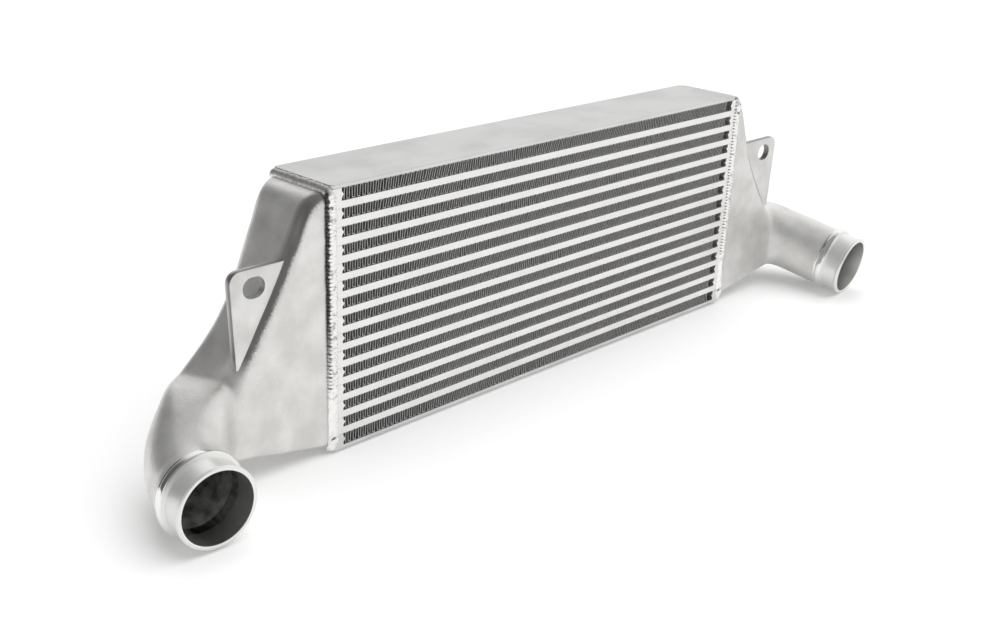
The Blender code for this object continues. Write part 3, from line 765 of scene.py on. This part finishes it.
for end_name, outlet in OUTLETS.items():
    rings = casting_rings(outlet, 0)
    rings[-1] = [point + outlet_aim(outlet) * END_STOCK for point in rings[-1]]
    rough = place("rough_casting", skin("casting", rings))
    modify(rough, "voxels", "REMESH", mode="VOXEL", voxel_size=CAST_VOXEL)
    settle(rough)
    # The root of the bend runs softly into the slope and the front: it is smoothed the most where this group is full
    root = rough.vertex_groups.new(name="root")
    for vertex in rough.data.vertices:
        reach = vertex.co.x - HALF_CORE
        weight = eased_past(reach, *ROOT_COMES) * (1 - eased_past(reach, *ROOT_GOES))
        weight *= 1 - eased_past(vertex.co.z, *ROOT_GOES_ABOVE)
        if weight > 0:
            root.add([vertex.index], weight, "REPLACE")
    modify(rough, "soft_edges", "SMOOTH", factor=0.5, iterations=CAST_SMOOTHING)
    modify(rough, "soft_root", "SMOOTH", factor=0.5, iterations=ROOT_SMOOTHING, vertex_group="root")
    settle(rough)
    tab = tab_solid(outlet["lower"])
    slot = slot_cutter(outlet["lower"])
    # The duct's cutter widens past the mouth, and so it also faces the end of the pipe flat
    duct_rings = casting_rings(outlet, TANK_WALL)
    duct_rings[0] = [point - Vector((TANK_WALL, 0, 0)) for point in duct_rings[0]]
    mouth = outlet_point(outlet, -SPIGOT_LENGTH - TANK_GAP)
    duct_rings.append([mouth + (point - mouth) * DUCT_FLARE for point in duct_rings[-1]])
    duct_rings.append([point + outlet_aim(outlet) * 2 * END_STOCK for point in duct_rings[-1]])
    duct = skin("duct", duct_rings)
    casting = rough.data
    coat(casting, cast_metal)
    for tool, metal, operation in (
        (tab, cast_metal, "UNION"), (slot, duct_metal, "DIFFERENCE"), (duct, duct_metal, "DIFFERENCE"),
    ):
        coat(tool, metal)
        casting = joined_or_cut(casting, tool, operation)
    bpy.data.objects.remove(rough)
    tank = place(f"{end_name}_tank_casting", mirrored(casting, outlet["side"]))
    tank.data.shade_smooth()
    tank.data.set_sharp_from_angle(angle=CAST_SHARP_ANGLE)
    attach(tank, "root")
    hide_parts(f"{end_name}_end_tank")


# Outlet spigots. Turned from aluminium bar and welded to the pipes: a thin flange and a groove at the pipe, a
# collar, a waist where the hose is clamped, and a lip that keeps it on.


SPIGOT_BORE = 27.9 * mm
COLLAR_RADIUS = 33.4 * mm
COLLAR_LENGTH = 9.0 * mm
COLLAR_SHOULDER = 1.2 * mm
GROOVE_WIDTH = 1.2 * mm
GROOVE_DEPTH = 1.4 * mm
WAIST_RADIUS = 30.2 * mm
LIP_RADIUS = 31.3 * mm
LIP_LENGTH = 4.0 * mm
LIP_RISE = 1.3 * mm
MOUTH_CHAMFER = 1.0 * mm
SPIGOT_SEGMENTS = 128
TURNED_EDGE = 0.45 * mm
TURNED_EDGE_LIMIT = 0.45
TURNED_EDGE_SHARES = (0.0, 0.33, 0.67, 1.0)
TURNED_SHARP_ANGLE = math.radians(40)

for end_name, outlet in OUTLETS.items():
    # Turned aluminium, polished on the flange and collar, nearly a mirror, and left as turned on the waist and in
    # the bore, where fine tool lines round the axis spread the light.
    turned_metal, tree, spot = new_material(f"{end_name}_turned_aluminium")
    aim = outlet_aim(outlet)
    back_centre = outlet_point(outlet, -SPIGOT_LENGTH)
    real_side = Vector((outlet["side"], 1, 1))
    to_axis = (aim * real_side).to_track_quat("Z", "Y").inverted()
    real_back = to_axis @ (back_centre * real_side)
    on_axis = add_node(
        tree, "ShaderNodeMapping", {"Vector": spot, "Location": -real_back, "Rotation": to_axis.to_euler()}
    )
    squeezed = add_node(
        tree, "ShaderNodeMapping", {"Vector": on_axis, "Scale": (1 / (90 * mm), 1 / (90 * mm), 1 / (0.6 * mm))}
    )
    tool_lines = add_node(tree, "ShaderNodeTexNoise", {"Vector": squeezed, "Scale": 1.0, "Detail": 2.0})
    from_back = add_node(tree, "ShaderNodeSeparateXYZ", {0: on_axis})
    past_collar = add_node(tree, "ShaderNodeMapRange", {
        "Value": from_back.outputs["Z"], "From Min": COLLAR_LENGTH - COLLAR_SHOULDER, "From Max": COLLAR_LENGTH,
    })
    polished = add_node(tree, "ShaderNodeMapRange", {"Value": tool_lines, "To Min": 0.07, "To Max": 0.17})
    as_turned = add_node(tree, "ShaderNodeMapRange", {"Value": tool_lines, "To Min": 0.24, "To Max": 0.44})
    roughness = add_node(tree, "ShaderNodeMix", {0: past_collar, 2: polished, 3: as_turned})
    off_axis = add_node(tree, "ShaderNodeVectorMath", {0: on_axis, 1: (1, 1, 0)}, operation="MULTIPLY")
    radius = add_node(tree, "ShaderNodeVectorMath", {0: off_axis}, operation="LENGTH")
    outside = add_node(tree, "ShaderNodeMapRange", {
        "Value": radius.outputs["Value"], "From Min": SPIGOT_BORE + 0.6 * mm, "From Max": SPIGOT_BORE + 1.2 * mm,
    })
    on_waist = add_node(tree, "ShaderNodeMath", {0: past_collar, 1: outside}, operation="MULTIPLY")
    bareness = add_node(tree, "ShaderNodeMapRange", {"Value": on_waist, "To Min": 1.0, "To Max": 0.62})
    line_height = add_node(tree, "ShaderNodeBump", {"Height": tool_lines, "Strength": 0.4, "Distance": 0.04 * mm})
    surface = add_node(tree, "ShaderNodeBsdfPrincipled", {
        "Base Color": colour("efefed"), "Metallic": bareness, "Roughness": roughness, "Normal": line_height,
    })
    add_node(tree, "ShaderNodeOutputMaterial", {"Surface": surface})

    groove_end = COLLAR_SHOULDER + GROOVE_WIDTH
    lip_start = SPIGOT_LENGTH - LIP_LENGTH
    sharp = [Vector(corner) for corner in (
        (PIPE_RADIUS, COLLAR_SHOULDER),
        (PIPE_RADIUS - GROOVE_DEPTH, groove_end),
        (COLLAR_RADIUS - COLLAR_SHOULDER, groove_end),
        (COLLAR_RADIUS, groove_end + COLLAR_SHOULDER),
        (COLLAR_RADIUS, COLLAR_LENGTH - COLLAR_SHOULDER),
        (COLLAR_RADIUS - COLLAR_SHOULDER, COLLAR_LENGTH),
        (WAIST_RADIUS, COLLAR_LENGTH + COLLAR_SHOULDER),
        (WAIST_RADIUS, lip_start),
        (LIP_RADIUS, lip_start + LIP_RISE),
        (LIP_RADIUS, SPIGOT_LENGTH - MOUTH_CHAMFER),
        (LIP_RADIUS - MOUTH_CHAMFER, SPIGOT_LENGTH),
        (SPIGOT_BORE, SPIGOT_LENGTH),
    )]
    back_corners = [Vector((SPIGOT_BORE, -TANK_GAP)), Vector((PIPE_RADIUS, -TANK_GAP))]
    profile = list(back_corners)
    for before, corner, after in zip([back_corners[1]] + sharp, sharp, sharp[1:] + [back_corners[0]]):
        ease_in, ease_out = (
            corner + (other - corner).normalized() * min(TURNED_EDGE, (other - corner).length * TURNED_EDGE_LIMIT)
            for other in (before, after)
        )
        for share in TURNED_EDGE_SHARES:
            profile.append(ease_in.lerp(corner, share).lerp(corner.lerp(ease_out, share), share))
    across = UP.cross(aim).normalized()
    rise = aim.cross(across)
    rings = []
    for segment in range(SPIGOT_SEGMENTS):
        angle = segment / SPIGOT_SEGMENTS * 2 * math.pi
        outward = across * math.cos(angle) + rise * math.sin(angle)
        rings.append([back_centre + outward * radius + aim * distance for radius, distance in profile])
    spigot = place(f"{end_name}_spigot_ring", mirrored(skin("spigot", rings, closed=True), outlet["side"]))
    spigot.data.shade_smooth()
    spigot.data.set_sharp_from_angle(angle=TURNED_SHARP_ANGLE)
    coat(spigot.data, turned_metal)
    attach(spigot, "root")
    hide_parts(f"{end_name}_outlet_spigot")


# Rim welds. A bead of aluminium laid by hand with a TIG torch in the corner between the core's end and the tank's
# rim; it is rippled where the torch moved in steps and smooth low down on the front, with a crater at the top.


# On each side of the rim, in millimetres: how far the bead's middle lies beyond the core's end and outside the rim,
# and its rise, half width and the half length of one ripple
BEAD_SIDES = {
    "front": (0.3, 0.4, 3.0, 5.2, 2.3),
    "back": (1.0, 0.2, 1.6, 3.6, 2.6),
    "top": (0.9, 0.0, 4.75, 4.4, 5.0),
    "base": (2.4, 0.0, 2.6, 2.8, 3.0),
}
RIPPLE_LEAN = math.radians(-32)
RIPPLE_STEP = 3.2 * mm
RIPPLE_WOBBLE = 0.14 * mm
RIPPLE_SEED = 7
PATH_STEP = 4 * mm
BEAD_VOXEL = 0.45 * mm
BEAD_SMOOTHING = 2
SMOOTH_RISE = 0.72
SMOOTH_BELOW = 44.0 * mm
SMOOTH_FADE = 10 * mm
SMOOTH_LENGTH = 9.0 * mm
CRATER_CENTRE = Vector((257.6 * mm, -34.2 * mm, 205.0 * mm))
CRATER_FACING = Vector((-0.35, -0.8, 0.48)).normalized()
CRATER_RADIUS = 3.2 * mm
CRATER_STEPS = 12
CRATER_RIPPLE = Vector((1.5, 1.5, 1.7)) * mm
DROP_CENTRE = CRATER_CENTRE + Vector((-0.3, -2.4, -7.5)) * mm
DROP_FALL = Vector((0, 0, 0.6 * mm))
DROP_SIZE = Vector((2.3, 2.3, 2.3)) * mm

# TIG-welded aluminium: bright and clean, with grey spots on the ripples and duller along the top; a black line of
# painted shade, with some soot, lies where the bead's upper part runs out on the casting.
weld_metal, tree, spot = new_material("tig_weld_aluminium")
soot_and_shade = add_node(tree, "ShaderNodeTexNoise", {"Vector": spot, "Scale": 1 / (3.5 * mm), "Detail": 4.0})
spot_x, spot_y, spot_z = add_node(tree, "ShaderNodeSeparateXYZ", {0: spot}).outputs
from_middle = add_node(tree, "ShaderNodeMath", {0: spot_x}, operation="ABSOLUTE")
ragged_toe = add_node(tree, "ShaderNodeMath", {0: soot_and_shade, 1: 3.4 * mm, 2: from_middle}, operation="MULTIPLY_ADD")
# What each share follows, where it starts and stops changing, and what it is before and after
shares = {
    "spots": (soot_and_shade, 0.52, 0.68, 0.0, 1.0),
    "spots_on_ripples": (spot_z, 40 * mm, 54 * mm, 0.15, 1.0),
    "top": (spot_z, 206 * mm, 211 * mm, 0.0, 0.55),
    # The toe share is painted shade, with some soot, where the bead runs out on the casting.
    "toe_soot_and_shade": (ragged_toe, HALF_CORE + 4.5 * mm, HALF_CORE + 5.7 * mm, 0.0, 1.0),
    "toe_above": (spot_z, 56 * mm, 110 * mm, 0.0, 1.0),
    "toe_on_front": (spot_y, -34 * mm, -32 * mm, 1.0, 0.0),
}
for name, (source, start, stop, before, after) in shares.items():
    shares[name] = add_node(tree, "ShaderNodeMapRange", {
        "Value": source, "From Min": start, "From Max": stop, "To Min": before, "To Max": after,
    }, label=name)
for whole, limit in (("spots", "spots_on_ripples"), ("toe_soot_and_shade", "toe_above"), ("toe_soot_and_shade", "toe_on_front")):
    shares[whole] = add_node(tree, "ShaderNodeMath", {0: shares[whole], 1: shares[limit]}, operation="MULTIPLY")
tone = colour("f4f3f2")
for name, code in (("spots", "bbb8b5"), ("top", "c9c7c4"), ("toe_soot_and_shade", "5a5856")):
    tone = add_node(tree, "ShaderNodeMix", {0: shares[name], 6: tone, 7: colour(code)}, data_type="RGBA").outputs[2]
ripple_roughness = add_node(tree, "ShaderNodeMapRange", {"Value": shares["spots"], "To Min": 0.26, "To Max": 0.48})
roughness = add_node(tree, "ShaderNodeMix", {0: shares["top"], 2: ripple_roughness, 3: 0.7})
surface = add_node(tree, "ShaderNodeBsdfPrincipled", {"Base Color": tone, "Metallic": 1.0, "Roughness": roughness})
add_node(tree, "ShaderNodeOutputMaterial", {"Surface": surface})

beading = bpy.data.node_groups.new("rippled_bead", "GeometryNodeTree")
beading.interface.new_socket("Geometry", in_out="OUTPUT", socket_type="NodeSocketGeometry")
beading.interface.new_socket("Geometry", in_out="INPUT", socket_type="NodeSocketGeometry")
for label in ("Step", "Wobble"):
    beading.interface.new_socket(label, in_out="INPUT", socket_type="NodeSocketFloat")
beading.interface.new_socket("Seed", in_out="INPUT", socket_type="NodeSocketInt")
size = add_node(beading, "NodeGroupInput", {}).outputs
rim_path = add_node(beading, "GeometryNodeMeshToCurve", {"Mesh": size["Geometry"]})
stepped_path = add_node(
    beading, "GeometryNodeResampleCurve", {"Curve": rim_path, "Length": size["Step"]}, mode="LENGTH"
)
mark = {
    name: add_node(beading, "GeometryNodeInputNamedAttribute", {"Name": name}, data_type="FLOAT_VECTOR")
    for name in ("outward", "ripple", "lean")
}
tangent = add_node(beading, "GeometryNodeInputTangent", {})
turn = add_node(
    beading, "FunctionNodeAxesToRotation", {0: tangent, 1: mark["outward"]}, primary_axis="Z", secondary_axis="X"
)
lean_turn = add_node(beading, "FunctionNodeEulerToRotation", {0: mark["lean"]})
lean_back = add_node(beading, "FunctionNodeRotateRotation", {0: turn, 1: lean_turn}, rotation_space="LOCAL")
scale_jitter = add_node(
    beading, "FunctionNodeRandomValue", {2: 0.95, 3: 1.04, "Seed": size["Seed"]}, data_type="FLOAT"
)
ripple_scale = add_node(
    beading, "ShaderNodeVectorMath", {0: mark["ripple"], 3: scale_jitter.outputs[1]}, operation="SCALE"
)
place_jitter = add_node(
    beading, "FunctionNodeRandomValue", {0: (-1, -1, -1), 1: (1, 1, 1), "Seed": size["Seed"]}, data_type="FLOAT_VECTOR"
)
place_shift = add_node(beading, "ShaderNodeVectorMath", {0: place_jitter, 3: size["Wobble"]}, operation="SCALE")
wobbling_path = add_node(beading, "GeometryNodeSetPosition", {"Geometry": stepped_path, "Offset": place_shift})
ripple = add_node(beading, "GeometryNodeMeshUVSphere", {"Segments": 24, "Rings": 12, "Radius": 1.0})
ripples = add_node(beading, "GeometryNodeInstanceOnPoints", {
    "Points": wobbling_path, "Instance": ripple, "Rotation": lean_back, "Scale": ripple_scale,
})
real_ripples = add_node(beading, "GeometryNodeRealizeInstances", {"Geometry": ripples})
welded = add_node(beading, "GeometryNodeSetMaterial", {"Geometry": real_ripples, "Material": weld_metal})
add_node(beading, "NodeGroupOutput", {"Geometry": welded})

for end_name, outlet in OUTLETS.items():
    centre = Vector((HALF_CORE, 0, (RIM_TOP + RIM_BASE) / 2))
    rim = rounded_ring(
        centre, Vector((0, 1, 0)), UP, RIM_HALF_DEPTH, (RIM_TOP - RIM_BASE) / 2, [(RIM_CORNER, RIM_CORNER)] * 4
    )
    turns = [
        (quarter + (step + 0.5) / CORNER_POINTS) * math.pi / 2
        for quarter in range(4) for step in range(CORNER_POINTS)
    ]
    path = []
    for index, (point, angle) in enumerate(zip(rim, turns)):
        following = rim[(index + 1) % len(rim)]
        next_angle = turns[(index + 1) % len(rim)] + (2 * math.pi if index + 1 == len(rim) else 0)
        pieces = max(1, round((following - point).length / PATH_STEP))
        for part in range(pieces):
            share = part / pieces
            here = point.lerp(following, share)
            turned = mix(angle, next_angle, share)
            outward = Vector((0, math.cos(turned), math.sin(turned)))
            parts = {
                "front": max(0, -outward.y) ** 2,
                "back": max(0, outward.y) ** 2,
                "top": max(0, outward.z) ** 2,
                "base": max(0, -outward.z) ** 2,
            }
            beyond, outset, rise, half_width, length = (
                sum(parts[side] * BEAD_SIDES[side][item] for side in parts) * mm for item in range(5)
            )
            low_down = parts["front"] * (1 - eased_past(here.z, SMOOTH_BELOW, SMOOTH_FADE))
            ripple_shape = Vector((
                mix(rise, SMOOTH_RISE * rise, low_down), half_width, mix(length, SMOOTH_LENGTH, low_down),
            ))
            lean = RIPPLE_LEAN * (parts["front"] + parts["back"]) * (1 - low_down)
            path.append((here + Vector((beyond, 0, 0)) + outward * outset, outward, ripple_shape, (0, lean, 0)))
    edges = [(index, (index + 1) % len(path)) for index in range(len(path))]
    # The crater: a last turn of the torch at the top of the front, with a round drop below it
    first = len(path)
    across = CRATER_FACING.orthogonal().normalized()
    for step in range(CRATER_STEPS):
        around = Matrix.Rotation(step / CRATER_STEPS * 2 * math.pi, 3, CRATER_FACING) @ across
        path.append((CRATER_CENTRE + around * CRATER_RADIUS, CRATER_FACING, CRATER_RIPPLE, (0, 0, 0)))
        edges.append((first + step, first + (step + 1) % CRATER_STEPS))
    edges.append((len(path), len(path) + 1))
    for drop_place in (DROP_CENTRE, DROP_CENTRE - DROP_FALL):
        path.append((drop_place, CRATER_FACING, DROP_SIZE, (0, 0, 0)))
    path_mesh = bpy.data.meshes.new("rim_path")
    path_mesh.from_pydata([point[0] for point in path], edges, [])
    for item, name in enumerate(("outward", "ripple", "lean"), start=1):
        marked = path_mesh.attributes.new(name, "FLOAT_VECTOR", "POINT").data
        for index, point in enumerate(path):
            marked[index].vector = point[item]
    bead = place(f"{end_name}_weld_bead", path_mesh)
    run_nodes(bead, "laying", beading, {"Step": RIPPLE_STEP, "Wobble": RIPPLE_WOBBLE, "Seed": RIPPLE_SEED})
    modify(bead, "fused", "REMESH", mode="VOXEL", voxel_size=BEAD_VOXEL)
    modify(bead, "softened", "SMOOTH", factor=0.5, iterations=BEAD_SMOOTHING)
    settle(bead)
    mirrored(bead.data, outlet["side"])
    bead.data.shade_smooth()
    coat(bead.data, weld_metal)
    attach(bead, "root")
    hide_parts(f"{end_name}_rim_weld")
